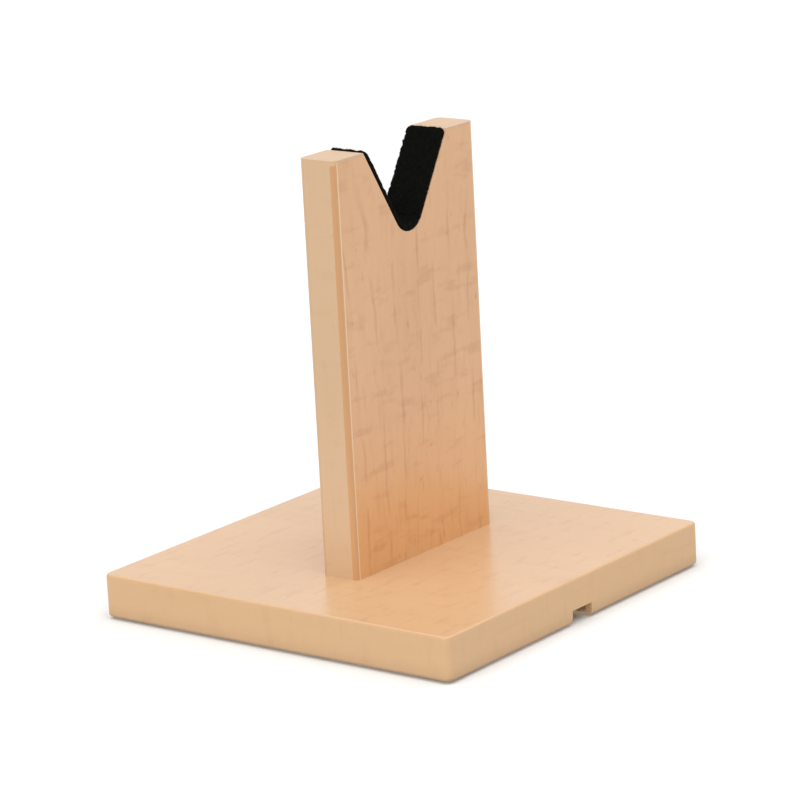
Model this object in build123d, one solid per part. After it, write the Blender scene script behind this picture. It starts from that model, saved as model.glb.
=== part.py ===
"""Neck rest stand: a square base board and an upright board with a felt-lined V notch.

Frame: origin at the middle of the footprint, on the surface the stand rests on. +Z is up, -Y is the
front (the base edge where the underside groove opens, and the broad face of the upright that faces it),
+X is to the right of someone who looks at the front. An instrument's neck lies in the V along Y.
Lengths are in millimetres.

Both boards are faced panels: a particleboard core with a plastic band on each edge, and a thin maple-look
laminate on each broad face that covers the core and the bands. The arrises are rounded after facing, so a
rounded arris cuts through the laminate's edge into the band. A thin band caps each horn of the upright.
"""
from build123d import *
import os
from math import cos, radians, sin, tan

# Panel stock
PANEL_THICKNESS = 18.0
LAMINATE_THICKNESS = 0.5
EDGE_BAND_THICKNESS = 3.0
TOP_BAND_THICKNESS = 1.0

# Base board
BASE_WIDTH = 175.0
BASE_DEPTH = 175.0
BASE_CORNER_RADIUS = 3.5
BASE_ARRIS_RADIUS = 1.2

# Groove in the underside of the base, from the front edge to the back edge
GROOVE_WIDTH = 13.2
GROOVE_DEPTH = 5.2
GROOVE_OFFSET_X = 1.8
GROOVE_LEFT_MOUTH_RADIUS = 3.0
GROOVE_RIGHT_MOUTH_RADIUS = 0.6

# Foot pads
PAD_DIAMETER = 20.0
PAD_THICKNESS = 1.2
PAD_INSET = 15.0
PAD_EDGE_CHAMFER = 0.3

# Upright board
UPRIGHT_WIDTH = 92.0
UPRIGHT_HEIGHT = 171.0
UPRIGHT_OFFSET_Y = -3.0
UPRIGHT_ARRIS_RADIUS = 2.8

# V notch in the top of the upright
NOTCH_HALF_WIDTH = 27.5
NOTCH_HALF_ANGLE = 31.0
NOTCH_BOTTOM_RADIUS = 9.5

# Felt lining
FELT_THICKNESS = 2.4
FELT_PROUD = 0.6

# Dowels between base and upright
DOWEL_DIAMETER = 8.0
DOWEL_LENGTH = 30.0
DOWEL_DEPTH_IN_BASE = 12.0
DOWEL_CHAMFER = 1.0
DOWEL_END_GAP = 1.0

# Connecting screws, driven from beneath through the base into the upright
SCREW_LENGTH = 50.0
SCREW_HEAD_DIAMETER = 10.0
SCREW_HEAD_RIM = 0.8
SCREW_HEAD_SINK = 0.6
SCREW_SHANK_DIAMETER = 7.0
SCREW_SHANK_LENGTH = 8.0
SCREW_THREAD_DIAMETER = 6.6
SCREW_ROOT_DIAMETER = 4.6
SCREW_PITCH = 3.0
SCREW_THREAD_FLANK = 0.75
SCREW_POINT_LENGTH = 5.0
SCREW_POINT_DIAMETER = 2.4
SCREW_SOCKET_ACROSS_FLATS = 4.0
SCREW_SOCKET_DEPTH = 2.6
SCREW_GROOVE_CLEARANCE = 8.0

# How far a cutting tool runs past the stock
OVERRUN = 5.0

# Heights and half sizes that follow
base_bottom_z = PAD_THICKNESS
base_top_z = base_bottom_z + PANEL_THICKNESS
upright_top_z = base_top_z + UPRIGHT_HEIGHT
base_core_bottom_z = base_bottom_z + LAMINATE_THICKNESS
base_core_top_z = base_top_z - LAMINATE_THICKNESS
core_thickness = PANEL_THICKNESS - 2 * LAMINATE_THICKNESS
base_core_width = BASE_WIDTH - 2 * EDGE_BAND_THICKNESS
base_core_depth = BASE_DEPTH - 2 * EDGE_BAND_THICKNESS
upright_core_width = UPRIGHT_WIDTH - 2 * EDGE_BAND_THICKNESS
upright_core_height = UPRIGHT_HEIGHT - TOP_BAND_THICKNESS

# The screws pass beside the groove, and each dowel stands midway between its screw and the core's side
groove_reach = GROOVE_OFFSET_X + GROOVE_WIDTH / 2 + GROOVE_RIGHT_MOUTH_RADIUS
screw_x = groove_reach + SCREW_GROOVE_CLEARANCE + SCREW_HEAD_DIAMETER / 2
dowel_x = (screw_x + SCREW_SHANK_DIAMETER / 2 + upright_core_width / 2) / 2


def box_between(low, high):
    """A box from its lowest corner to its highest corner."""
    size = [b - a for a, b in zip(low, high)]
    middle = [(a + b) / 2 for a, b in zip(low, high)]
    return Pos(*middle) * Box(*size)


def base_blank():
    """The outside of the finished base board: rounded corners, with eased top and bottom arrises."""
    plan = RectangleRounded(BASE_WIDTH, BASE_DEPTH, BASE_CORNER_RADIUS)
    blank = Pos(0, 0, base_bottom_z) * extrude(plan, PANEL_THICKNESS)
    rims = blank.faces().filter_by(Axis.Z).edges()
    return fillet(rims, BASE_ARRIS_RADIUS)


def upright_blank():
    """The outside of the finished upright board: its four vertical arrises are rounded."""
    plan = RectangleRounded(UPRIGHT_WIDTH, PANEL_THICKNESS, UPRIGHT_ARRIS_RADIUS)
    return Pos(0, UPRIGHT_OFFSET_Y, base_top_z) * extrude(plan, UPRIGHT_HEIGHT)


def groove_cutter():
    """The underside groove: a square-bottomed channel whose mouth flares in a quarter round each side."""
    channel = Pos(0, (GROOVE_DEPTH - OVERRUN) / 2) * Rectangle(GROOVE_WIDTH, GROOVE_DEPTH + OVERRUN)
    for side, radius in ((-1, GROOVE_LEFT_MOUTH_RADIUS), (1, GROOVE_RIGHT_MOUTH_RADIUS)):
        wall_x = side * GROOVE_WIDTH / 2
        flare = Pos(wall_x + side * radius / 2, radius / 2) * Rectangle(radius, radius)
        flare -= Pos(wall_x + side * radius, radius) * Circle(radius)
        channel += flare
    section = Plane.XZ * channel
    length = BASE_DEPTH + 2 * OVERRUN
    return Pos(GROOVE_OFFSET_X, length / 2, base_bottom_z) * extrude(section, length)


def notch_section(inset, top_z):
    """The V's outline moved inwards by inset and closed at top_z: two straight slopes and a round bottom."""
    angle = radians(NOTCH_HALF_ANGLE)
    point_z = upright_top_z - NOTCH_HALF_WIDTH / tan(angle)
    centre_z = point_z + NOTCH_BOTTOM_RADIUS / sin(angle)
    radius = NOTCH_BOTTOM_RADIUS - inset
    tangent_x = radius * cos(angle)
    tangent_z = centre_z - radius * sin(angle)
    top_x = tangent_x + (top_z - tangent_z) * tan(angle)
    bottom = ThreePointArc((-tangent_x, tangent_z), (0, centre_z - radius), (tangent_x, tangent_z))
    right_slope = Line((tangent_x, tangent_z), (top_x, top_z))
    top = Line((top_x, top_z), (-top_x, top_z))
    left_slope = Line((-top_x, top_z), (-tangent_x, tangent_z))
    return Plane.XZ * make_face(Curve() + [bottom, right_slope, top, left_slope])


def notch_prism(inset, top_z, length):
    """The V's section carried along Y, centred on the upright's thickness."""
    section = notch_section(inset, top_z)
    return Pos(0, UPRIGHT_OFFSET_Y + length / 2, 0) * extrude(section, length)


def notch_cutter():
    """The space that the V takes out of the upright."""
    return notch_prism(0, upright_top_z + OVERRUN, PANEL_THICKNESS + 2 * OVERRUN)


def screw_profile_points(head_z):
    """Half outline of a connecting screw, as (radius, z) from its head face up to its point."""
    head_radius = SCREW_HEAD_DIAMETER / 2
    shank_radius = SCREW_SHANK_DIAMETER / 2
    thread_radius = SCREW_THREAD_DIAMETER / 2
    root_radius = SCREW_ROOT_DIAMETER / 2
    rim_z = head_z + SCREW_HEAD_RIM
    neck_z = rim_z + head_radius - shank_radius
    thread_z = neck_z + SCREW_SHANK_LENGTH
    tip_z = head_z + SCREW_LENGTH
    points = [(0, head_z), (head_radius, head_z), (head_radius, rim_z), (shank_radius, neck_z)]
    points += [(shank_radius, thread_z), (root_radius, thread_z + shank_radius - root_radius)]
    crest_z = thread_z + SCREW_PITCH
    while crest_z + SCREW_THREAD_FLANK < tip_z - SCREW_POINT_LENGTH:
        points.append((root_radius, crest_z - SCREW_THREAD_FLANK))
        points.append((thread_radius, crest_z))
        points.append((root_radius, crest_z + SCREW_THREAD_FLANK))
        crest_z += SCREW_PITCH
    points += [(root_radius, tip_z - SCREW_POINT_LENGTH), (SCREW_POINT_DIAMETER / 2, tip_z), (0, tip_z)]
    return points


def screw_envelope(x):
    """The outside of one connecting screw at x, with no drive socket."""
    points = screw_profile_points(base_bottom_z + SCREW_HEAD_SINK)
    profile = Plane.XZ * make_face(Polyline(*points, close=True))
    return Pos(x, UPRIGHT_OFFSET_Y, 0) * revolve(profile, Axis.Z)


def screw_socket(x):
    """The hexagonal drive socket in the screw's head."""
    hexagon = RegularPolygon(SCREW_SOCKET_ACROSS_FLATS / 2, 6, major_radius=False)
    head_z = base_bottom_z + SCREW_HEAD_SINK
    start_z = head_z - OVERRUN
    return Pos(x, UPRIGHT_OFFSET_Y, start_z) * extrude(hexagon, OVERRUN + SCREW_SOCKET_DEPTH)


def screw_hole(x):
    """What a screw takes out of the boards: its own shape, and the sinking under its head."""
    head_z = base_bottom_z + SCREW_HEAD_SINK
    low_z = base_bottom_z - OVERRUN
    sink = Pos(x, UPRIGHT_OFFSET_Y, (low_z + head_z) / 2) * Cylinder(SCREW_HEAD_DIAMETER / 2, head_z - low_z)
    return screw_envelope(x) + sink


def dowel(x):
    """One smooth beech dowel with chamfered ends, half in the base and half in the upright."""
    middle_z = base_top_z - DOWEL_DEPTH_IN_BASE + DOWEL_LENGTH / 2
    pin = Pos(x, UPRIGHT_OFFSET_Y, middle_z) * Cylinder(DOWEL_DIAMETER / 2, DOWEL_LENGTH)
    return chamfer(pin.edges().filter_by(GeomType.CIRCLE), DOWEL_CHAMFER)


def dowel_hole(x):
    """The blind bore for one dowel, a little longer than the dowel at both ends."""
    middle_z = base_top_z - DOWEL_DEPTH_IN_BASE + DOWEL_LENGTH / 2
    bore_length = DOWEL_LENGTH + 2 * DOWEL_END_GAP
    return Pos(x, UPRIGHT_OFFSET_Y, middle_z) * Cylinder(DOWEL_DIAMETER / 2, bore_length)


def joint_cutters():
    """Every bore for the dowels and screws that join the two boards."""
    cutters = []
    for side in (-1, 1):
        cutters.append(dowel_hole(side * dowel_x))
        cutters.append(screw_hole(side * screw_x))
    return cutters


def base_slab(low_z, high_z):
    """A level slab that reaches past the base board on every side, for cutting one layer out of it."""
    reach_x = BASE_WIDTH / 2 + OVERRUN
    reach_y = BASE_DEPTH / 2 + OVERRUN
    return box_between((-reach_x, -reach_y, low_z), (reach_x, reach_y, high_z))


def upright_slab(low_y, high_y):
    """An upright slab as high as the side bands, for cutting one layer out of the upright board."""
    reach_x = UPRIGHT_WIDTH / 2 + OVERRUN
    low = (-reach_x, UPRIGHT_OFFSET_Y + low_y, base_top_z)
    high = (reach_x, UPRIGHT_OFFSET_Y + high_y, base_top_z + upright_core_height)
    return box_between(low, high)


def make_base_panel(parts):
    """Core, top facing and bottom facing of the base."""
    blank = base_blank()
    groove = groove_cutter()
    holes = joint_cutters()
    low = (-base_core_width / 2, -base_core_depth / 2, base_core_bottom_z)
    high = (base_core_width / 2, base_core_depth / 2, base_core_top_z)
    parts["base_core"] = box_between(low, high) - groove - holes
    top_facing = blank & base_slab(base_core_top_z, base_top_z)
    bottom_facing = blank & base_slab(base_bottom_z, base_core_bottom_z)
    parts["base_top_laminate"] = top_facing - holes
    parts["base_bottom_laminate"] = bottom_facing - groove - holes


def make_base_edge_bands(parts):
    """Front and back bands run the base's full width, and the side bands fit between them."""
    blank = base_blank()
    groove = groove_cutter()
    inner_x = base_core_width / 2
    inner_y = base_core_depth / 2
    outer_x = BASE_WIDTH / 2 + OVERRUN
    outer_y = BASE_DEPTH / 2 + OVERRUN
    low_z = base_core_bottom_z
    high_z = base_core_top_z
    zones = {
        "front": ((-outer_x, -outer_y, low_z), (outer_x, -inner_y, high_z)),
        "back": ((-outer_x, inner_y, low_z), (outer_x, outer_y, high_z)),
        "left": ((-outer_x, -inner_y, low_z), (-inner_x, inner_y, high_z)),
        "right": ((inner_x, -inner_y, low_z), (outer_x, inner_y, high_z)),
    }
    for side, (low, high) in zones.items():
        parts["base_edge_band_" + side] = (blank & box_between(low, high)) - groove


def make_foot_pads(parts):
    """Four thin round pads under the base's corners."""
    x = BASE_WIDTH / 2 - PAD_INSET
    y = BASE_DEPTH / 2 - PAD_INSET
    corners = {"front_left": (-x, -y), "front_right": (x, -y), "back_left": (-x, y), "back_right": (x, y)}
    for corner, (pad_x, pad_y) in corners.items():
        pad = Pos(pad_x, pad_y, PAD_THICKNESS / 2) * Cylinder(PAD_DIAMETER / 2, PAD_THICKNESS)
        rim = pad.edges().filter_by(GeomType.CIRCLE).sort_by(Axis.Z)[0]
        parts["foot_pad_" + corner] = chamfer(rim, PAD_EDGE_CHAMFER)


def make_upright_panel(parts):
    """Core, front facing and back facing of the upright."""
    blank = upright_blank() - notch_cutter()
    half_core = core_thickness / 2
    half_panel = PANEL_THICKNESS / 2
    half_width = upright_core_width / 2
    low = (-half_width, UPRIGHT_OFFSET_Y - half_core, base_top_z)
    high = (half_width, UPRIGHT_OFFSET_Y + half_core, base_top_z + upright_core_height)
    parts["upright_core"] = box_between(low, high) - notch_cutter() - joint_cutters()
    parts["upright_front_laminate"] = blank & upright_slab(-half_panel, -half_core)
    parts["upright_back_laminate"] = blank & upright_slab(half_core, half_panel)


def make_upright_edge_bands(parts):
    """Side bands between the two facings, and one top band over each horn."""
    blank = upright_blank() - notch_cutter()
    inner_x = upright_core_width / 2
    outer_x = UPRIGHT_WIDTH / 2 + OVERRUN
    low_y = UPRIGHT_OFFSET_Y - core_thickness / 2
    high_y = UPRIGHT_OFFSET_Y + core_thickness / 2
    reach_y = PANEL_THICKNESS
    top_band_z = base_top_z + upright_core_height
    for side, sign in (("left", -1), ("right", 1)):
        low_x, high_x = sorted((sign * inner_x, sign * outer_x))
        side_zone = box_between((low_x, low_y, base_top_z), (high_x, high_y, top_band_z))
        parts["upright_edge_band_" + side] = blank & side_zone
        low_x, high_x = sorted((0, sign * outer_x))
        horn_zone = box_between((low_x, -reach_y, top_band_z), (high_x, reach_y, upright_top_z))
        parts["upright_top_band_" + side] = blank & horn_zone


def make_felt_lining(parts):
    """Felt strip glued down one slope, round the bottom and up the other, standing a little proud."""
    top_z = upright_top_z + FELT_PROUD
    outside = notch_prism(0, top_z, PANEL_THICKNESS)
    inside = notch_prism(FELT_THICKNESS, top_z + OVERRUN, PANEL_THICKNESS + 2 * OVERRUN)
    parts["felt_lining"] = outside - inside


def make_fasteners(parts):
    """Two dowels that locate the upright and two screws that hold it."""
    parts["joint_dowels"] = Compound([dowel(side * dowel_x) for side in (-1, 1)])
    screws = []
    for side in (-1, 1):
        x = side * screw_x
        screws.append(screw_envelope(x) - screw_socket(x))
    parts["joint_screws"] = Compound(screws)


def main():
    os.makedirs("parts", exist_ok=True)
    parts = {}
    make_base_panel(parts)
    make_base_edge_bands(parts)
    make_foot_pads(parts)
    make_upright_panel(parts)
    make_upright_edge_bands(parts)
    make_felt_lining(parts)
    make_fasteners(parts)
    for name, shape in parts.items():
        solids = shape.solids()
        export_step(Compound(solids), os.path.join("parts", name + ".step"))
        print(name, len(solids))


main()
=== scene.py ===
# %% [markdown]
# # A felt-lined neck rest, finished in Blender
#
# The stand is two boards of faced panel. A square base carries an upright whose top is cut in a V, and the
# V is lined with black felt, so that an instrument's neck can lie in it. The boards, bands, pads, screws
# and dowels come from the CAD model as a fixed frame. This script adds what the CAD model can't hold: the
# printed maple figure, the cut edges of the facings, and the felt with its fibres.
#
# Every length is in metres. The boards' planes and the felt's corners are read from the frame.

import math

import bmesh
import bpy
import numpy as np
from mathutils import Matrix, Vector


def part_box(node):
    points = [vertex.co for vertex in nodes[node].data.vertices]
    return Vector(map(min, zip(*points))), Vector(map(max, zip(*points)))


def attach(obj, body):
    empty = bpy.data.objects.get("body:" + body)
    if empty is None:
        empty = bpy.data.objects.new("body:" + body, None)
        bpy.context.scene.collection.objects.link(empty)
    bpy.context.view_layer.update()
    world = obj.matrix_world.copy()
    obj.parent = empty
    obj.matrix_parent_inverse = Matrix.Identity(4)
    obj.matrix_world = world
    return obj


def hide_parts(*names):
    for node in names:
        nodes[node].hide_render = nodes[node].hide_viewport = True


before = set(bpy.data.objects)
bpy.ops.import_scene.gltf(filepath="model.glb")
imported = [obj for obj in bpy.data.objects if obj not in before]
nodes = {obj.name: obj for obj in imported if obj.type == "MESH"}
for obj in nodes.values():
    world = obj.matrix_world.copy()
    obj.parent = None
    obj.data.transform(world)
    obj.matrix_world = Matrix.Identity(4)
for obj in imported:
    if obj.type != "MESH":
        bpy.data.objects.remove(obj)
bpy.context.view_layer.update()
MM = 0.001

# %% [markdown]
# ## Sizes that the looks need
#
# A finish depends on where it sits: a facing is printed on its broad face and pale on its cut edge, and a
# rounded arris shows the plastic under the print.

# %% Measure the boards
LOWEST = 0
HIGHEST = 1
base_top_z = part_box("base_top_laminate")[HIGHEST].z
base_bottom_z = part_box("base_bottom_laminate")[LOWEST].z
upright_half = -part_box("upright_edge_band_left")[LOWEST].x
upright_front_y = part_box("upright_front_laminate")[LOWEST].y
upright_back_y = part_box("upright_back_laminate")[HIGHEST].y
upright_top_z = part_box("upright_top_band_left")[HIGHEST].z
felt_low, felt_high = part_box("felt_lining")
print("base from", round(base_bottom_z, 4), "to", round(base_top_z, 4))
print("upright half width", round(upright_half, 4), "top at", round(upright_top_z, 4))

# %% [markdown]
# ## The camera
#
# The stand is looked at from its front left, a little from above, through a long lens, so its upright lines
# stay nearly parallel. A camera in Blender looks along its own -Z. So its rotation is a matrix whose third
# column points back from the target, and the small roll turns the other two columns about that one.

# %% Place the camera
AZIMUTH = math.radians(-52.01)
ELEVATION = math.radians(14.66)
ROLL = math.radians(-3.05)
CAMERA_DISTANCE = 1.583
SENSOR_WIDTH = 36.0
LENS = 175.0
CLIP_NEAR = 0.1
CLIP_FAR = 60.0
TARGET = Vector((0.0013, -0.0014, 0.0817))


def camera_axes(azimuth, elevation, roll):
    """Right, up and back of a camera: back comes from the two angles, right is level, up completes them,
    and then right and up turn about back by the roll."""
    back = Vector((
        math.sin(azimuth) * math.cos(elevation),
        -math.cos(azimuth) * math.cos(elevation),
        math.sin(elevation),
    ))
    level_right = Vector((0, 0, 1)).cross(back).normalized()
    level_up = back.cross(level_right)
    right = math.cos(roll) * level_right + math.sin(roll) * level_up
    up = -math.sin(roll) * level_right + math.cos(roll) * level_up
    return right, up, back


right, up, back = camera_axes(AZIMUTH, ELEVATION, ROLL)
camera = bpy.data.objects.new("camera", bpy.data.cameras.new("camera"))
camera.data.sensor_width = SENSOR_WIDTH
camera.data.lens = LENS
camera.data.clip_start = CLIP_NEAR
camera.data.clip_end = CLIP_FAR
turn = Matrix((right, up, back)).transposed().to_4x4()
camera.matrix_world = Matrix.Translation(TARGET + CAMERA_DISTANCE * back) @ turn
bpy.context.scene.collection.objects.link(camera)
bpy.context.scene.camera = camera
print("camera at", [round(v, 3) for v in camera.location])

# %% [markdown]
# ## Building node trees with a few helpers
#
# A material is a graph of nodes. Wiring it by hand takes many lines, so a few helpers do the wiring: they
# add a node, do arithmetic, turn a range into a soft 0 to 1 step, mix two colours, and make a stretched
# noise. Effects that several finishes share become node groups, made once and placed with other values.

# %% Node helpers
def add(tree, kind, **settings):
    """One new node of this kind, with its settings given by name."""
    node = tree.nodes.new(kind)
    for name, value in settings.items():
        setattr(node, name, value)
    return node


def feed(tree, socket, value):
    """Links value into the socket if it is another socket. Otherwise it becomes the socket's own value."""
    if isinstance(value, bpy.types.NodeSocket):
        tree.links.new(value, socket)
    else:
        socket.default_value = value


def calc(tree, operation, *values):
    """Arithmetic on sockets and numbers."""
    node = add(tree, "ShaderNodeMath", operation=operation)
    for socket, value in zip(node.inputs, values):
        feed(tree, socket, value)
    return node.outputs[0]


def soft_step(tree, value, low, high):
    """0 below low, 1 above high, and a smooth rise between."""
    node = add(tree, "ShaderNodeMapRange", interpolation_type="SMOOTHSTEP")
    feed(tree, node.inputs["Value"], value)
    feed(tree, node.inputs["From Min"], low)
    feed(tree, node.inputs["From Max"], high)
    return node.outputs["Result"]


def mixed(tree, factor, first, second, blend="MIX"):
    """The first colour where factor is 0, and blended with the second where it is 1."""
    node = add(tree, "ShaderNodeMix", data_type="RGBA", blend_type=blend)
    sockets = {socket.identifier: socket for socket in node.inputs}
    feed(tree, sockets["Factor_Float"], factor)
    feed(tree, sockets["A_Color"], first)
    feed(tree, sockets["B_Color"], second)
    return {socket.identifier: socket for socket in node.outputs}["Result_Color"]


def stretched_noise(tree, place, per_metre, detail=2.0, roughness=0.5):
    """Noise whose grains are 1 / per_metre long along each axis."""
    scaled = add(tree, "ShaderNodeVectorMath", operation="MULTIPLY")
    feed(tree, scaled.inputs[0], place)
    scaled.inputs[1].default_value = per_metre
    noise = add(tree, "ShaderNodeTexNoise")
    noise.inputs["Scale"].default_value = 1.0
    noise.inputs["Detail"].default_value = detail
    noise.inputs["Roughness"].default_value = roughness
    tree.links.new(scaled.outputs[0], noise.inputs["Vector"])
    return noise.outputs["Fac"]


def new_material(name):
    """An empty material as (material, its tree, its Principled shader)."""
    material = bpy.data.materials.new(name)
    material.use_nodes = True
    return material, material.node_tree, material.node_tree.nodes["Principled BSDF"]


def new_group(name, inputs, outputs):
    """An empty node group with named sockets, as (group, its inputs' sockets, its output node)."""
    group = bpy.data.node_groups.new(name, "ShaderNodeTree")
    for label, kind, value in inputs:
        socket = group.interface.new_socket(label, in_out="INPUT", socket_type="NodeSocket" + kind)
        if value is not None:
            socket.default_value = value
    for label, kind in outputs:
        group.interface.new_socket(label, in_out="OUTPUT", socket_type="NodeSocket" + kind)
    start = add(group, "NodeGroupInput")
    end = add(group, "NodeGroupOutput")
    return group, start.outputs, end.inputs


def place_group(tree, group, **values):
    """The group as one node in this tree. A value is named like its socket, with _ for a space."""
    node = add(tree, "ShaderNodeGroup", node_tree=group)
    for name, value in values.items():
        feed(tree, node.inputs[name.replace("_", " ")], value)
    return node.outputs


print("helpers ready")

# %% [markdown]
# ## Colour, floor and light
#
# The Standard view shows a colour as it was mixed, which makes it easy to judge a wood tone by its numbers.
# A white tent would light the stand evenly, but then its tops and sides would be equally bright. So the
# world gives a weaker even light, and three suns with very large discs give soft light with a direction: a
# strong one from above the front left, a weak low one that keeps the left sides bright down to the base,
# and a weak one from the right that draws a light line along the front arris. A sun lights the whole floor
# alike, so the floor stays one clean white.

# %% World, floor and soft suns
FLOOR_HALF = 12.0
FLOOR_COLOR = (0.82, 0.82, 0.82, 1)
FLOOR_ROUGHNESS = 0.9
FLOOR_GLOSS = 0.1
FLOOR_GAP = 8 * MM
TENT_LIGHT = 0.52
TENT_SEEN = 1.0
LAMP_DISTANCE = 3.0

scene = bpy.context.scene
scene.view_settings.view_transform = "Standard"
scene.view_settings.look = "None"

# The tent lights the boards with less than it shows, in the backdrop and in the satin reflections.
world = bpy.data.worlds.new("white_tent")
world.use_nodes = True
tent_tree = world.node_tree
tent = tent_tree.nodes["Background"]
tent.inputs["Color"].default_value = (1.0, 1.0, 1.0, 1)
lighting = add(tent_tree, "ShaderNodeLightPath").outputs["Is Diffuse Ray"]
tent_strength = calc(tent_tree, "MULTIPLY_ADD", lighting, TENT_LIGHT - TENT_SEEN, TENT_SEEN)
feed(tent_tree, tent.inputs["Strength"], tent_strength)
scene.world = world

corners = np.array([(-1, -1, 0), (1, -1, 0), (1, 1, 0), (-1, 1, 0)], float) * FLOOR_HALF
floor_mesh = bpy.data.meshes.new("floor")
floor_mesh.from_pydata(corners.tolist(), [], [(0, 1, 2, 3)])
floor = bpy.data.objects.new("floor", floor_mesh)
scene.collection.objects.link(floor)

floor_paint, floor_tree, floor_shader = new_material("floor_paint")
floor_shader.inputs["Base Color"].default_value = FLOOR_COLOR
floor_shader.inputs["Roughness"].default_value = FLOOR_ROUGHNESS
floor_shader.inputs["Specular IOR Level"].default_value = FLOOR_GLOSS

# The floor is see-through from below, so that the underside of the base can be looked at too. The pads hold
# that underside a millimetre above the floor, where hardly any light gets in. So a soft ray that meets the
# floor within FLOOR_GAP goes through it and finds the tent.
floor_ray = add(floor_tree, "ShaderNodeLightPath").outputs
short = calc(floor_tree, "LESS_THAN", floor_ray["Ray Length"], FLOOR_GAP)
soft_and_short = calc(floor_tree, "MULTIPLY", floor_ray["Is Diffuse Ray"], short)
from_below = add(floor_tree, "ShaderNodeNewGeometry").outputs["Backfacing"]
either = add(floor_tree, "ShaderNodeMixShader")
feed(floor_tree, either.inputs["Fac"], calc(floor_tree, "MAXIMUM", from_below, soft_and_short))
feed(floor_tree, either.inputs[1], floor_shader.outputs["BSDF"])
feed(floor_tree, either.inputs[2], add(floor_tree, "ShaderNodeBsdfTransparent").outputs["BSDF"])
feed(floor_tree, floor_tree.nodes["Material Output"].inputs["Surface"], either.outputs["Shader"])
floor.data.materials.append(floor_paint)


def soft_sun(name, come_from, strength, disc_degrees):
    """A sun whose light comes from this direction. The lamp's -Z axis points the other way."""
    lamp = bpy.data.objects.new(name, bpy.data.lights.new(name, "SUN"))
    lamp.data.energy = strength
    lamp.data.angle = math.radians(disc_degrees)
    lamp.rotation_mode = "QUATERNION"
    lamp.location = Vector(come_from).normalized() * LAMP_DISTANCE
    lamp.rotation_quaternion = Vector(come_from).to_track_quat("Z", "Y")
    scene.collection.objects.link(lamp)
    return lamp


soft_sun("overhead_sun", come_from=(-0.34, -0.16, 1.0), strength=2.40, disc_degrees=80)
soft_sun("left_sun", come_from=(-1.0, -0.10, 0.16), strength=0.56, disc_degrees=60)
soft_sun("edge_sun", come_from=(0.74, -0.27, 0.56), strength=0.40, disc_degrees=45)

# %% [markdown]
# ## The printed maple figure
#
# The boards are faced with a printed laminate. Its print copies maple: very fine long fibres, soft streaks
# and clouds, short dashes, thin dark growth lines that wander, a few brown flecks, and the bars across the
# grain that joiners call curl. The growth lines are evenly spaced, and a noise makes them sway and another
# breaks them up. Each of the other patterns is one stretched noise. They are added up to a single tone,
# and the tone picks a colour between a dark and a light ink. The pattern is one node group, so every board
# shares it and only turns it, with the grain along the group's own Z. The group also gives a soft relief,
# for the gloss and a shallow bump.

# %% The maple print
GROWTH_SPACING = 13.5 * MM
GROWTH_HALF_WIDTH = 0.6 * MM
GRAIN_WANDER = 15 * MM
GRAIN_WIGGLE = 1.5 * MM
PLAIN_TONE = 0.64
FIBRE_RELIEF = 0.15

# How many grains of noise go into a metre across the grain, through the board, and along the grain.
WANDER_GRAIN = (24, 24, 7)
WIGGLE_GRAIN = (130, 130, 80)
FIBRE_GRAIN = (1300, 1300, 42)
STREAK_GRAIN = (210, 210, 16)
CLOUD_GRAIN = (26, 26, 11)
DASH_GRAIN = (380, 380, 75)
CURL_GRAIN = (62, 62, 190)
LINE_BREAK_GRAIN = (75, 75, 45)
FLECK_GRAIN = (480, 480, 190)

maple_print, given, made = new_group(
    "maple_print",
    [
        ("Place", "Vector", None),
        ("Light ink", "Color", (0.8, 0.55, 0.35, 1)),
        ("Dark ink", "Color", (0.5, 0.3, 0.15, 1)),
        ("Figure", "Float", 1.0),
        ("Lines", "Float", 1.0),
    ],
    [("Color", "Color"), ("Relief", "Float")],
)
axes = add(maple_print, "ShaderNodeSeparateXYZ")
feed(maple_print, axes.inputs[0], given["Place"])
across = axes.outputs["X"]
for per_metre, reach in ((WANDER_GRAIN, GRAIN_WANDER), (WIGGLE_GRAIN, GRAIN_WIGGLE)):
    wander = stretched_noise(maple_print, given["Place"], per_metre, detail=1.0)
    sway = calc(maple_print, "MULTIPLY", calc(maple_print, "SUBTRACT", wander, 0.5), 2 * reach)
    across = calc(maple_print, "ADD", across, sway)
wavy = add(maple_print, "ShaderNodeCombineXYZ")
feed(maple_print, wavy.inputs["X"], across)
feed(maple_print, wavy.inputs["Y"], axes.outputs["Y"])
feed(maple_print, wavy.inputs["Z"], axes.outputs["Z"])

fibres = stretched_noise(maple_print, wavy.outputs[0], FIBRE_GRAIN, detail=2.0)
streaks = stretched_noise(maple_print, wavy.outputs[0], STREAK_GRAIN, detail=2.0)
clouds = stretched_noise(maple_print, given["Place"], CLOUD_GRAIN, detail=2.0)
dash_noise = stretched_noise(maple_print, wavy.outputs[0], DASH_GRAIN, detail=1.0)
dashes = soft_step(maple_print, dash_noise, 0.50, 0.76)
curl_noise = stretched_noise(maple_print, given["Place"], CURL_GRAIN, detail=2.0, roughness=0.6)
curl = soft_step(maple_print, curl_noise, 0.52, 0.72)

# A growth line is where the swayed distance across the board is a whole number of spacings.
from_line = calc(maple_print, "PINGPONG", across, GROWTH_SPACING / 2)
line_edge = soft_step(maple_print, from_line, GROWTH_HALF_WIDTH * 0.3, GROWTH_HALF_WIDTH * 2.0)
break_noise = stretched_noise(maple_print, wavy.outputs[0], LINE_BREAK_GRAIN)
line_fade = soft_step(maple_print, break_noise, 0.42, 0.60)
growth = calc(maple_print, "MULTIPLY", calc(maple_print, "SUBTRACT", 1.0, line_edge), line_fade)
fleck_noise = stretched_noise(maple_print, wavy.outputs[0], FLECK_GRAIN, detail=1.0)
flecks = soft_step(maple_print, fleck_noise, 0.70, 0.78)

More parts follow.
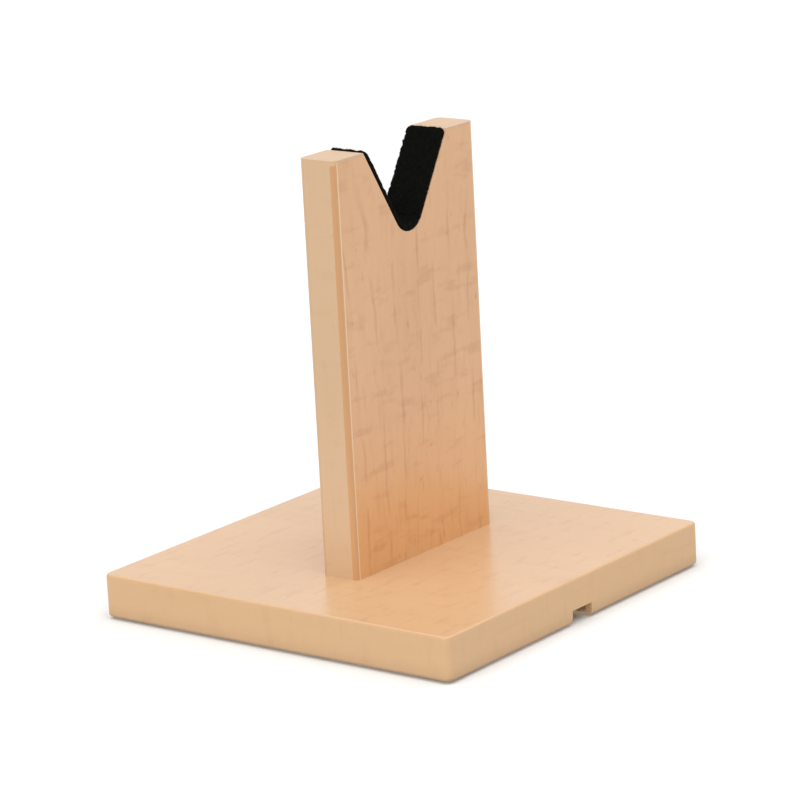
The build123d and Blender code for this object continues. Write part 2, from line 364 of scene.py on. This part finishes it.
# Each pattern moves the tone from its own middle by its amount, with the board's Figure or Lines.
tone = PLAIN_TONE
for pattern, middle, amount, strength in (
    (fibres, 0.5, 0.05, "Lines"),
    (streaks, 0.5, 0.20, "Figure"),
    (clouds, 0.5, 0.55, "Figure"),
    (dashes, 0.15, -0.18, "Lines"),
    (curl, 0.15, -0.32, "Figure"),
    (growth, 0.05, -0.42, "Lines"),
    (flecks, 0.01, -0.45, "Lines"),
):
    offset = calc(maple_print, "SUBTRACT", pattern, middle)
    share = calc(maple_print, "MULTIPLY", calc(maple_print, "MULTIPLY", offset, amount), given[strength])
    tone = calc(maple_print, "ADD", share, tone)
clear_tone = add(maple_print, "ShaderNodeClamp")
feed(maple_print, clear_tone.inputs["Value"], tone)
feed(
    maple_print,
    made["Color"],
    mixed(maple_print, clear_tone.outputs[0], given["Dark ink"], given["Light ink"]),
)
relief = calc(maple_print, "ADD", calc(maple_print, "MULTIPLY", streaks, 1 - FIBRE_RELIEF),
              calc(maple_print, "MULTIPLY", fibres, FIBRE_RELIEF))
feed(maple_print, made["Relief"], relief)
print("maple print nodes:", len(maple_print.nodes))

# %% [markdown]
# ## Facings that show their cut edge
#
# The facing is half a millimetre thick: a printed, sealed skin, a pale sheet under it, and brown sheets
# below. Where the edge of the board is rounded over, the cut runs through all of them: the pale sheet shows
# as a thin light line, and the brown ones look like the band next to them. The depth of a point below the
# facing's plane tells them apart, and the CAD frame gives that plane. The standing faces are painted warmer
# towards the foot, a painted bounce of warm light from the base's top. A soft relief in the roughness and
# in a shallow bump keeps the satin finish from looking like plastic film.

# %% Facing material
PRINT_DEPTH = 0.08 * MM
PALE_DEPTH = 0.22 * MM
SATIN_LOW = 0.23
SATIN_HIGH = 0.29
MAPLE_LIGHT = (0.665, 0.380, 0.186, 1)
MAPLE_DARK = (0.505, 0.243, 0.100, 1)
PALE_SHEET = (0.700, 0.520, 0.330, 1)
BROWN_SHEET = (0.530, 0.280, 0.120, 1)
CUT_DULLER = 0.3
RELIEF_DEPTH = 0.04 * MM
FACING_GLOSS = 0.9
TOP_LIGHT = (0.665, 0.425, 0.232, 1)
TOP_DARK = (0.500, 0.280, 0.140, 1)
TOP_PALE = (0.590, 0.375, 0.205, 1)
TOP_BROWN = (0.560, 0.330, 0.165, 1)
# Painted bounce light: standing faces are multiplied by this warm tint towards the foot, as if lit by the
# base's top.
FOOT_PAINTED_BOUNCE = (1.13, 1.05, 0.86, 1)
FOOT_LOW = 30 * MM
FOOT_HIGH = 105 * MM


def object_place(tree, turn=(0, 0, 0), shift=(0, 0, 0)):
    """Object coordinates, turned by degrees about each axis and then shifted."""
    coordinates = add(tree, "ShaderNodeTexCoord").outputs["Object"]
    mapping = add(tree, "ShaderNodeMapping")
    feed(tree, mapping.inputs["Vector"], coordinates)
    mapping.inputs["Rotation"].default_value = [math.radians(v) for v in turn]
    mapping.inputs["Location"].default_value = shift
    return mapping.outputs[0]


def distance_inside(tree, axis, plane, both_sides=False, above=False):
    """How far a point lies inside the plane at this value of one axis, in metres. Inside is towards the
    origin, or up from the plane if above is set."""
    parts = add(tree, "ShaderNodeSeparateXYZ")
    feed(tree, parts.inputs[0], add(tree, "ShaderNodeTexCoord").outputs["Object"])
    value = parts.outputs[axis]
    if both_sides:
        value = calc(tree, "ABSOLUTE", value)
    if above or plane < 0:
        return calc(tree, "SUBTRACT", value, plane)
    return calc(tree, "SUBTRACT", plane, value)


def bumped(tree, height, distance, strength):
    """The surface's normal with this height pattern pressed into it, distance metres deep."""
    bump = add(tree, "ShaderNodeBump")
    bump.inputs["Strength"].default_value = strength
    bump.inputs["Distance"].default_value = distance
    feed(tree, bump.inputs["Height"], height)
    return bump.outputs["Normal"]


def satin_roughness(tree, pattern, low, high):
    """Roughness between low and high, by a 0 to 1 pattern."""
    node = add(tree, "ShaderNodeMapRange")
    feed(tree, node.inputs["Value"], pattern)
    feed(tree, node.inputs["To Min"], low)
    feed(tree, node.inputs["To Max"], high)
    return node.outputs["Result"]


def painted_light_at_foot(tree, color, painted_foot_light):
    """The colour times a tint of painted light at the foot of a standing board, fading out on the way up.
    It stands in for the light that the base's top throws back onto the board.
    """
    height = distance_inside(tree, "Z", 0.0, above=True)
    fade = calc(tree, "SUBTRACT", 1.0, soft_step(tree, height, FOOT_LOW, FOOT_HIGH))
    return mixed(tree, fade, color, painted_foot_light, blend="MULTIPLY")


def facing_material(name, axis, plane, turn=(0, 0, 0), shift=(0, 0, 0), light=MAPLE_LIGHT, dark=MAPLE_DARK,
                    pale=PALE_SHEET, deep=BROWN_SHEET, figure=1.0, lines=1.0, grain=0.2, standing=True):
    """The print on the face at this plane, below it the pale sheet, and the brown sheets deeper down."""
    material, tree, shader = new_material(name)
    shader.inputs["Specular IOR Level"].default_value = FACING_GLOSS
    ink = place_group(
        tree, maple_print, Place=object_place(tree, turn, shift),
        Light_ink=light, Dark_ink=dark, Figure=figure, Lines=lines,
    )
    # Painted bounce light: a standing face is painted warmer towards its foot.
    color = painted_light_at_foot(tree, ink["Color"], FOOT_PAINTED_BOUNCE) if standing else ink["Color"]
    depth = distance_inside(tree, axis, plane)
    cut = soft_step(tree, depth, PRINT_DEPTH * 0.7, PRINT_DEPTH * 1.3)
    brown = soft_step(tree, depth, PALE_DEPTH * 0.85, PALE_DEPTH * 1.15)
    sheets = mixed(tree, brown, pale, deep)
    feed(tree, shader.inputs["Base Color"], mixed(tree, cut, color, sheets))
    worn = satin_roughness(tree, ink["Relief"], SATIN_LOW, SATIN_HIGH)
    duller = calc(tree, "MULTIPLY", cut, CUT_DULLER)
    feed(tree, shader.inputs["Roughness"], calc(tree, "ADD", worn, duller))
    feed(tree, shader.inputs["Normal"], bumped(tree, ink["Relief"], RELIEF_DEPTH, grain))
    return material


def paint(node_name, material):
    """Gives every material slot of a CAD piece this material."""
    piece = nodes[node_name]
    if not piece.data.materials:
        piece.data.materials.append(material)
    for slot in piece.material_slots:
        slot.material = material


maple_top = facing_material(
    "maple_top", "Z", base_top_z, turn=(90, 0, 0), shift=(0.37, 0.1, 0.2),
    light=TOP_LIGHT, dark=TOP_DARK, pale=TOP_PALE, deep=TOP_BROWN,
    figure=0.7, lines=0.15, grain=0.1, standing=False,
)
paint("base_top_laminate", maple_top)
paint("upright_front_laminate", facing_material("maple_front", "Y", upright_front_y))
paint("upright_back_laminate", facing_material("maple_back", "Y", upright_back_y, shift=(0.5, 0, 0.3)))
print("facings painted")

# %% [markdown]
# ## Edge bands
#
# A band is a 3 mm strip of plastic glued to the edge of the board, coloured all through. Its outer face has
# a quiet print, paler and yellower than the facings and almost without figure. The router that rounds the
# arris cuts away that print and shows the browner plastic, which is why a darker stripe runs beside the
# print. How far a point lies behind the band's outer plane, or below the arris's start, tells which it is.
# On the upright the stripe starts a little below the horn, and it is faint at the back.

# %% Edge band material
BAND_PRINT_DEPTH = 0.04 * MM
BAND_SATIN = (0.30, 0.42)
BAND_CUT_DULLER = 0.08
BAND_RELIEF_DEPTH = 0.02 * MM
BAND_GLOSS = 0.4
LINES_IN_FIGURE = 0.6
BAND_LIGHT = (0.635, 0.412, 0.225, 1)
BAND_DARK = (0.517, 0.301, 0.147, 1)
BAND_BODY = (0.520, 0.276, 0.123, 1)
SIDE_LIGHT = (0.604, 0.411, 0.249, 1)
SIDE_DARK = (0.499, 0.309, 0.170, 1)
# Painted light: the upright's sides are painted brighter and a little bluer towards the foot, standing in
# for light that reaches their lower part.
SIDE_FOOT_PAINTED_LIGHT = (1.12, 1.14, 1.17, 1)
BASE_ARRIS = 1.2 * MM
BASE_ARRIS_SHARE = 0.3
STRIPE_START = 2.1 * MM
BACK_ARRIS_SHARE = 0.3
BACK_STARTS = (8 * MM, 10 * MM)


def band_material(name, cut_shows, turn, shift=(0, 0, 0), figure=0.45, light=BAND_LIGHT, dark=BAND_DARK,
                  painted_foot_light=None):
    """The band's print, and its plain plastic where cut_shows, a function of the tree, gives 1."""
    material, tree, shader = new_material(name)
    ink = place_group(
        tree, maple_print, Place=object_place(tree, turn, shift),
        Light_ink=light, Dark_ink=dark, Figure=figure, Lines=figure * LINES_IN_FIGURE,
    )
    cut = cut_shows(tree)
    color = mixed(tree, cut, ink["Color"], BAND_BODY)
    # Painted light: a standing band can be painted brighter towards its foot.
    if painted_foot_light:
        color = painted_light_at_foot(tree, color, painted_foot_light)
    feed(tree, shader.inputs["Base Color"], color)
    worn = satin_roughness(tree, ink["Relief"], *BAND_SATIN)
    duller = calc(tree, "MULTIPLY", cut, BAND_CUT_DULLER)
    feed(tree, shader.inputs["Roughness"], calc(tree, "ADD", worn, duller))
    feed(tree, shader.inputs["Normal"], bumped(tree, ink["Relief"], BAND_RELIEF_DEPTH, 0.3))
    shader.inputs["Specular IOR Level"].default_value = BAND_GLOSS
    return material


def upright_arris(tree):
    """1 where the upright's side is rounded away behind its outer plane, but not in the last bit below the
    horn, and much less at the back. Only the paint has those two limits: the rounding itself runs on."""
    inside = distance_inside(tree, "X", upright_half, both_sides=True)
    cut = soft_step(tree, inside, BAND_PRINT_DEPTH * 0.5, BAND_PRINT_DEPTH * 1.5)
    below_top = distance_inside(tree, "Z", upright_top_z)
    started = soft_step(tree, below_top, STRIPE_START * 0.85, STRIPE_START)
    behind_front = distance_inside(tree, "Y", upright_front_y)
    at_back = soft_step(tree, behind_front, *BACK_STARTS)
    kept = calc(tree, "SUBTRACT", 1.0, calc(tree, "MULTIPLY", at_back, 1.0 - BACK_ARRIS_SHARE))
    return calc(tree, "MULTIPLY", calc(tree, "MULTIPLY", cut, started), kept)


def base_arris(tree):
    """BASE_ARRIS_SHARE within an arris of the base's top or bottom, where the router has gone over the
    band, and 0 between them."""
    from_top = distance_inside(tree, "Z", base_top_z)
    to_bottom = calc(tree, "SUBTRACT", base_top_z - base_bottom_z, from_top)
    nearest = calc(tree, "MINIMUM", from_top, to_bottom)
    in_arris = calc(tree, "SUBTRACT", 1.0, soft_step(tree, nearest, BASE_ARRIS * 0.60, BASE_ARRIS * 0.85))
    return calc(tree, "MULTIPLY", in_arris, BASE_ARRIS_SHARE)


def never(tree):
    """0 everywhere: the thin band on a horn keeps its print up to its corners."""
    return 0.0


# Grain runs along each band: about Z on the upright, and turned by 90 degrees on the base and the horns.
ALONG_X = (0, -90, 0)
ALONG_Y = (90, 0, 0)
base_side_band = band_material("band_base_sides", base_arris, ALONG_Y, (0.11, 0, 0))
base_end_band = band_material("band_base_ends", base_arris, ALONG_X, (0, 0.23, 0))
upright_side_band = band_material(
    "band_upright", upright_arris, (0, 0, 90), (0, 0.4, 0), light=SIDE_LIGHT, dark=SIDE_DARK,
    painted_foot_light=SIDE_FOOT_PAINTED_LIGHT,
)
horn_band = band_material("band_horns", never, ALONG_X, (0.3, 0, 0.1), light=SIDE_LIGHT, dark=SIDE_DARK)
for side in ("left", "right"):
    paint("base_edge_band_" + side, base_side_band)
    paint("upright_edge_band_" + side, upright_side_band)
    paint("upright_top_band_" + side, horn_band)
for side in ("front", "back"):
    paint("base_edge_band_" + side, base_end_band)
print("bands painted")

# %% [markdown]
# ## Chipboard, backing sheet, dowels, screws and pads
#
# The core shows in the walls of the groove. Elsewhere facings, bands and felt cover it. Chipboard is a
# jumble of flat flakes, which two sizes of stretched Voronoi cells copy well. The hidden side of the base
# has a plain backing sheet. The screws are zinc-plated, with a fine noise in rings. The pads are a dull
# rubber with a fine grain.

# %% Core, backing and dowel wood
def plain_grain_material(name, light, dark, per_metre, roughness, bump_depth):
    """One stretched noise that mixes two tones, gives the roughness a little change, and a shallow bump."""
    material, tree, shader = new_material(name)
    pattern = stretched_noise(tree, object_place(tree), per_metre, detail=4.0, roughness=0.6)
    feed(tree, shader.inputs["Base Color"], mixed(tree, soft_step(tree, pattern, 0.3, 0.7), dark, light))
    feed(tree, shader.inputs["Roughness"], satin_roughness(tree, pattern, *roughness))
    feed(tree, shader.inputs["Normal"], bumped(tree, pattern, bump_depth, 0.6))
    return material


BIG_FLAKES = (420, 420, 900)
SMALL_FLAKES = (900, 1500, 1700)
DARK_FLAKE = (0.30, 0.17, 0.08, 1)
LIGHT_FLAKE = (0.66, 0.46, 0.28, 1)
FLAKE_DEPTH = 0.15 * MM


def chipboard_material(name):
    """Flakes from two layers of Voronoi cells, each with its own tone, and dark gaps between the cells."""
    material, tree, shader = new_material(name)
    place = object_place(tree)
    tones = []
    for per_metre in (BIG_FLAKES, SMALL_FLAKES):
        scaled = add(tree, "ShaderNodeVectorMath", operation="MULTIPLY")
        feed(tree, scaled.inputs[0], place)
        scaled.inputs[1].default_value = per_metre
        cells = add(tree, "ShaderNodeTexVoronoi")
        cells.inputs["Scale"].default_value = 1.0
        feed(tree, cells.inputs["Vector"], scaled.outputs[0])
        parts = add(tree, "ShaderNodeSeparateXYZ")
        feed(tree, parts.inputs[0], cells.outputs["Color"])
        gap = soft_step(tree, cells.outputs["Distance"], 0.35, 0.75)
        tones.append(calc(tree, "SUBTRACT", parts.outputs["X"], calc(tree, "MULTIPLY", gap, 0.45)))
    tone = calc(tree, "MULTIPLY", calc(tree, "ADD", tones[0], tones[1]), 0.55)
    flakes = mixed(tree, soft_step(tree, tone, 0.0, 1.0), DARK_FLAKE, LIGHT_FLAKE)
    feed(tree, shader.inputs["Base Color"], flakes)
    feed(tree, shader.inputs["Normal"], bumped(tree, tone, FLAKE_DEPTH, 0.7))
    shader.inputs["Roughness"].default_value = 0.85
    shader.inputs["Specular IOR Level"].default_value = 0.25
    return material


chipboard = chipboard_material("chipboard")
paint("base_core", chipboard)
paint("upright_core", chipboard)
backing = plain_grain_material(
    "backing_sheet", light=(0.70, 0.54, 0.38, 1), dark=(0.56, 0.41, 0.27, 1),
    per_metre=(500, 500, 500), roughness=(0.5, 0.62), bump_depth=0.02 * MM,
)
beech = plain_grain_material(
    "beech_dowel", light=(0.62, 0.42, 0.24, 1), dark=(0.46, 0.28, 0.14, 1),
    per_metre=(1600, 1600, 120), roughness=(0.55, 0.7), bump_depth=0.05 * MM,
)
paint("base_bottom_laminate", backing)
paint("joint_dowels", beech)

# %% Rubber pads and zinc screws
rubber = plain_grain_material(
    "pad_rubber", light=(0.035, 0.034, 0.033, 1), dark=(0.020, 0.020, 0.020, 1),
    per_metre=(2600, 2600, 2600), roughness=(0.62, 0.8), bump_depth=0.06 * MM,
)
for corner in ("front_left", "front_right", "back_left", "back_right"):
    paint("foot_pad_" + corner, rubber)

ZINC_DARK = (0.46, 0.47, 0.50, 1)
ZINC_LIGHT = (0.66, 0.66, 0.65, 1)
RING_DEPTH = 0.02 * MM
zinc, zinc_tree, zinc_shader = new_material("zinc_screw")
turned = stretched_noise(zinc_tree, object_place(zinc_tree), (900, 900, 9000), detail=2.0)
zinc_shader.inputs["Metallic"].default_value = 1.0
zinc_color = mixed(zinc_tree, turned, ZINC_DARK, ZINC_LIGHT)
feed(zinc_tree, zinc_shader.inputs["Base Color"], zinc_color)
feed(zinc_tree, zinc_shader.inputs["Roughness"], satin_roughness(zinc_tree, turned, 0.26, 0.42))
feed(zinc_tree, zinc_shader.inputs["Normal"], bumped(zinc_tree, turned, RING_DEPTH, 0.4))
paint("joint_screws", zinc)
print("hardware painted")

# %% [markdown]
# ## The felt strip
#
# The V is lined with one strip of wool felt, laid from the top of one horn down through the round bottom
# and up to the other, and glued. A fabric strip follows a path, so its shape is a profile carried along a
# path. The path is the wood's V: a straight wall, an arc and a straight wall. The profile is a flat
# oblong with soft corners, as wide as the board is thick. Felt is never even, so its thickness
# wanders by a tenth of a millimetre, its cut edges wave a little, and it bunches slightly in the bend.

# %% Path of the felt
V_HALF_ANGLE = math.radians(31)
FELT_THICKNESS = 2.4 * MM
FELT_WIDTH = felt_high.y - felt_low.y
END_BELOW_HORN = 0.5 * MM
GLUE_LINE = 0.03 * MM

# The two walls would meet in a point, and the arc that rounds it reaches down to the felt's lowest corner.
v_point_z = felt_high.z - felt_high.x / math.tan(V_HALF_ANGLE)
wood_radius = (felt_low.z - v_point_z) / (1 / math.sin(V_HALF_ANGLE) - 1)
wall_length = (upright_top_z - END_BELOW_HORN - v_point_z) / math.cos(V_HALF_ANGLE)
wall_length -= wood_radius / math.tan(V_HALF_ANGLE)
middle_radius = wood_radius - FELT_THICKNESS / 2
arc_length = middle_radius * (math.pi - 2 * V_HALF_ANGLE)
felt_length = 2 * wall_length + arc_length


def v_path(along):
    """Points on the wood's V, and the direction into the V there, at distances from the left end.

    Half way is the bottom. Up to half an arc length from it, the point is on the arc, at an angle of
    distance / middle radius. Beyond that it runs on along the wall, which is the arc's tangent there."""
    from_middle = along - felt_length / 2
    on_arc = np.clip(from_middle, -arc_length / 2, arc_length / 2)
    beyond = from_middle - on_arc
    angle = on_arc / middle_radius
    inward = np.stack([-np.sin(angle), np.zeros_like(angle), np.cos(angle)], axis=-1)
    tangent = np.stack([np.cos(angle), np.zeros_like(angle), np.sin(angle)], axis=-1)
    centre = np.array([0.0, 0.0, felt_low.z + wood_radius])
    points = centre - wood_radius * inward + beyond[..., None] * tangent
    return points, inward


print("wood arc radius", round(wood_radius, 5), "felt length", round(felt_length, 5))

# %% Profile, unevenness and mesh of the felt
SIDE_POINTS = 44
CORNER_POINTS = 6
CORNER_START = 0.06
END_RINGS = 9
END_START = 0.05
LEAST_RISE = 0.02 * MM
CUT_EDGE_RADIUS = 0.75 * MM
END_CORNER_RADIUS = 2.2 * MM
RING_GAP = 0.45 * MM
BACK_EDGE_WAVE = 0.34 * MM
FRONT_EDGE_WAVE = 0.14 * MM
END_WAVE = 0.16 * MM
END_ZONE = 3 * MM
NAP_WAVE = 0.10 * MM
FINE_NAP_WAVE = 0.045 * MM
BUNCHING = 0.08 * MM


def ripple(first, second, seed, shortest, longest, count=28):
    """Smooth unevenness from -1 to 1 or so: a sum of sine waves in seeded random directions and lengths."""
    random = np.random.default_rng(seed)
    lengths = np.exp(random.uniform(np.log(shortest), np.log(longest), count))
    headings = random.uniform(0, 2 * np.pi, count)
    starts = random.uniform(0, 2 * np.pi, count)
    total = np.zeros(np.broadcast(first, second).shape)
    for length, heading, start in zip(lengths, headings, starts):
        distance = first * np.cos(heading) + second * np.sin(heading)
        total += np.sin(2 * np.pi * distance / length + start)
    return total / math.sqrt(count)


def felt_profile():
    """Half of a flat oblong with round corners: shares of the half width and of the half thickness.

    It goes from the right edge's middle over the inner side to the left edge's middle. A corner point is
    the corner's centre plus the corner radius turned by an angle from 0 to 90 degrees."""
    turn = np.linspace(CORNER_START, np.pi / 2, CORNER_POINTS)
    level = np.linspace(1, -1, SIDE_POINTS)[1:-1]
    inward = np.concatenate([1 - np.cos(turn), np.full(level.size, 1.0), (1 - np.cos(turn))[::-1]])
    side = np.concatenate([np.ones(CORNER_POINTS), level, -np.ones(CORNER_POINTS)])
    lift = np.concatenate([np.sin(turn), np.ones(level.size), np.sin(turn)[::-1]])
    return side, inward, lift


def felt_surface():
    """Points on a grid, rings along the strip by points around the profile.

    A ring's half width and half thickness shrink towards both ends along quarter circles, which rounds the
    strip's corners and its cut ends. The upper half of a ring is the inner side, and the lower half is its
    mirror image, laid on the wood."""
    ring_count = int(felt_length / RING_GAP) + 1
    ends = END_CORNER_RADIUS * (1 - np.cos(np.linspace(END_START, np.pi / 2, END_RINGS)))
    body = np.linspace(END_CORNER_RADIUS, felt_length - END_CORNER_RADIUS, ring_count)[1:-1]
    along = np.concatenate([ends, body, felt_length - ends[::-1]])
    from_end = np.minimum(along, felt_length - along)

    missing = np.clip(END_CORNER_RADIUS - from_end, 0, None)
    half_width = FELT_WIDTH / 2 - (END_CORNER_RADIUS - np.sqrt(END_CORNER_RADIUS**2 - missing**2))
    missing = np.clip(CUT_EDGE_RADIUS - from_end, 0, None)
    end_drop = CUT_EDGE_RADIUS - np.sqrt(CUT_EDGE_RADIUS**2 - missing**2)

    side, inward, lift = felt_profile()
    straight = half_width[:, None] - CUT_EDGE_RADIUS
    across = side * straight + np.sign(side) * CUT_EDGE_RADIUS * (side**2 >= 1) * (1 - inward)
    rise = FELT_THICKNESS / 2 - CUT_EDGE_RADIUS * (1 - lift)
    rise = np.clip(rise - end_drop[:, None], LEAST_RISE, None)

    across = np.concatenate([across, across[:, ::-1]], axis=1)
    height = FELT_THICKNESS / 2 + np.concatenate([rise, -rise[:, ::-1]], axis=1)
    station = np.broadcast_to(along[:, None], across.shape).copy()

    # Unevenness: a thicker and thinner nap, wavy cut edges, and a slight bunching in the bend.
    share = np.clip(height / FELT_THICKNESS, 0, 1)
    in_bend = np.exp(-(((along - felt_length / 2) / (arc_length / 2)) ** 2))[:, None]
    nap = NAP_WAVE * ripple(station, across, seed=11, shortest=2.2 * MM, longest=9 * MM)
    nap = nap + FINE_NAP_WAVE * ripple(station, across, seed=12, shortest=0.9 * MM, longest=1.8 * MM)
    height = GLUE_LINE + height + share * (nap + BUNCHING * in_bend)
    wave_height = np.where(across > 0, BACK_EDGE_WAVE, FRONT_EDGE_WAVE)
    edge_wave = wave_height * ripple(station, 0 * station, seed=13, shortest=1.2 * MM, longest=7 * MM)
    middle_of_strip = (felt_low.y + felt_high.y) / 2
    across = across + edge_wave * np.sign(across) * np.abs(across / across.max()) ** 4
    end_wave = END_WAVE * ripple(across, 0 * across, seed=14, shortest=1.2 * MM, longest=7 * MM)
    station = station + end_wave * (from_end < END_ZONE)[:, None]

    points, into_v = v_path(station)
    points = points + height[..., None] * into_v
    points[..., 1] += middle_of_strip + across
    return points


def tube_mesh(name, grid):
    """A closed mesh from a grid whose rows are rings. Each end is closed by faces from a ring's upper half
    to its mirrored lower half."""
    rings, around = grid.shape[:2]
    index = np.arange(rings * around).reshape(rings, around)
    beside = np.roll(index, -1, axis=1)
    walls = np.stack([index[:-1], index[1:], beside[1:], beside[:-1]], axis=-1).reshape(-1, 4)
    half = np.arange(around // 2 - 1)
    cap = np.stack([half, half + 1, around - 2 - half, around - 1 - half], axis=-1)
    faces = np.concatenate([walls, index[0][cap], index[-1][cap[:, ::-1]]])
    mesh = bpy.data.meshes.new(name)
    mesh.from_pydata(grid.reshape(-1, 3).tolist(), [], faces.tolist())
    mesh.polygons.foreach_set("use_smooth", np.ones(len(faces), bool))
    mesh.update()
    return mesh, faces


felt_grid = felt_surface()
felt_mesh, felt_faces = tube_mesh("felt_strip", felt_grid)


def turned_outward(mesh):
    """True if the mesh's faces point outwards: the volume that they enclose then comes out positive."""
    work = bmesh.new()
    work.from_mesh(mesh)
    volume = work.calc_volume(signed=True)
    open_edges = sum(1 for edge in work.edges if not edge.is_manifold)
    work.free()
    print(mesh.name, "volume in cubic mm", round(volume * 1e9, 1), "open edges", open_edges)
    return volume > 0


if not turned_outward(felt_mesh):
    felt_mesh.flip_normals()
felt_strip = bpy.data.objects.new("felt_strip", felt_mesh)
scene.collection.objects.link(felt_strip)
print("felt faces:", len(felt_faces))

# %% [markdown]
# ## Loose fibres on the felt
#
# Felt has no clean outline: short fibres stand off its face and its cut edges. Particle hair could make
# them, but a mesh of tiny tapered spikes stays in the exported model and needs nothing random at render
# time. Each spike starts just under the felt, leans at its own angle and bends a little. All of them are
# worked out at once from arrays of places, directions and lengths.

# %% Fibres
FIBRE_COUNT = 18000
FIBRE_RADIUS = 0.021 * MM
FIBRE_LENGTHS = (0.40 * MM, 1.40 * MM)
FIBRE_ROOT = 0.06 * MM
SHORTENED = (0.45, 1.0)
LEANS_OUTWARD = (0.12, 1.3)
BEND = 0.28


def unit(vectors):
    """The same directions with length 1."""
    return vectors / np.maximum(np.linalg.norm(vectors, axis=-1, keepdims=True), 1e-12)


def felt_spots(grid, count, random):
    """Random places on the felt's free side and the outward direction there.

    Grid cells are drawn with a chance in proportion to their area, and the place within a cell is a random
    blend of its four corners. The direction is the cross product of the cell's diagonals."""
    free = grid.shape[1] // 2
    a, b = grid[:-1, :free], grid[1:, :free]
    c, d = grid[1:, 1:free + 1], grid[:-1, 1:free + 1]
    facing = np.cross(c - a, d - b).reshape(-1, 3)
    middle_cell = facing.reshape(a.shape)[a.shape[0] // 2, free // 2]
    facing = facing if middle_cell[2] > 0 else -facing
    area = np.linalg.norm(facing, axis=1)
    chosen = random.choice(area.size, count, p=area / area.sum())
    u, v = random.uniform(0, 1, (2, count, 1))
    a, b, c, d = (corner.reshape(-1, 3)[chosen] for corner in (a, b, c, d))
    place = (1 - u) * ((1 - v) * a + v * d) + u * ((1 - v) * b + v * c)
    return place, unit(facing[chosen])


def fibre_mesh(name, grid, count, seed):
    """Spikes with a three-sided foot, a three-sided middle and a tip. The middle lies half way along the
    fibre's direction, and the tip at its full length, moved sideways by the bend."""
    random = np.random.default_rng(seed)
    place, outward = felt_spots(grid, count, random)
    aside = unit(np.cross(outward, random.normal(size=(count, 3))))
    lean = random.uniform(*LEANS_OUTWARD, (count, 1))
    heading = unit(outward * lean + aside)
    length = random.uniform(*FIBRE_LENGTHS, (count, 1)) * random.uniform(*SHORTENED, (count, 1))
    first = unit(np.cross(heading, outward + 0.3 * random.normal(size=(count, 3))))
    second = np.cross(heading, first)
    bend = first * random.normal(0, BEND, (count, 1)) * length

    angle = np.arange(3) * 2 * np.pi / 3
    ring = np.cos(angle)[None, :, None] * first[:, None] + np.sin(angle)[None, :, None] * second[:, None]
    foot = (place - outward * FIBRE_ROOT)[:, None] + ring * FIBRE_RADIUS
    middle = (place + heading * length * 0.5 + bend * 0.3)[:, None] + ring * FIBRE_RADIUS * 0.8
    tip = (place + heading * length + bend)[:, None]
    points = np.concatenate([foot, middle, tip], axis=1).reshape(-1, 3)

    one = np.array([
        (0, 2, 1), (0, 1, 4), (0, 4, 3), (1, 2, 5), (1, 5, 4),
        (2, 0, 3), (2, 3, 5), (3, 4, 6), (4, 5, 6), (5, 3, 6),
    ])
    faces = (one[None] + 7 * np.arange(count)[:, None, None]).reshape(-1, 3)
    mesh = bpy.data.meshes.new(name)
    mesh.from_pydata(points.tolist(), [], faces.tolist())
    mesh.update()
    return mesh


fuzz_mesh = fibre_mesh("felt_fibres", felt_grid, FIBRE_COUNT, 21)
if not turned_outward(fuzz_mesh):
    fuzz_mesh.flip_normals()
felt_fibres = bpy.data.objects.new("felt_fibres", fuzz_mesh)
scene.collection.objects.link(felt_fibres)
print("fibre faces:", len(fuzz_mesh.polygons))

# %% Felt material
DYE_DARK = (0.0012, 0.0012, 0.0008, 1)
DYE_LIGHT = (0.0038, 0.0037, 0.0022, 1)
FINE_SHARE = 0.65
NAP_DEPTH = 0.20 * MM
felt_black, felt_tree, felt_shader = new_material("felt_black")
felt_place = object_place(felt_tree)
nap_fine = stretched_noise(felt_tree, felt_place, (2600, 2600, 2600), detail=3.0, roughness=0.7)
nap_broad = stretched_noise(felt_tree, felt_place, (420, 420, 420), detail=2.0)
nap = calc(felt_tree, "MULTIPLY", nap_fine, FINE_SHARE)
nap = calc(felt_tree, "ADD", nap, calc(felt_tree, "MULTIPLY", nap_broad, 1 - FINE_SHARE))
dye = mixed(felt_tree, soft_step(felt_tree, nap, 0.35, 0.65), DYE_DARK, DYE_LIGHT)
feed(felt_tree, felt_shader.inputs["Base Color"], dye)
feed(felt_tree, felt_shader.inputs["Roughness"], satin_roughness(felt_tree, nap, 0.85, 1.0))
feed(felt_tree, felt_shader.inputs["Normal"], bumped(felt_tree, nap, NAP_DEPTH, 0.8))
felt_shader.inputs["Specular IOR Level"].default_value = 0.06
felt_shader.inputs["Sheen Weight"].default_value = 0.012
felt_shader.inputs["Sheen Roughness"].default_value = 0.5
felt_mesh.materials.append(felt_black)
fuzz_mesh.materials.append(felt_black)

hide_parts("felt_lining")
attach(felt_strip, "root")
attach(felt_fibres, "root")
print("felt declared")
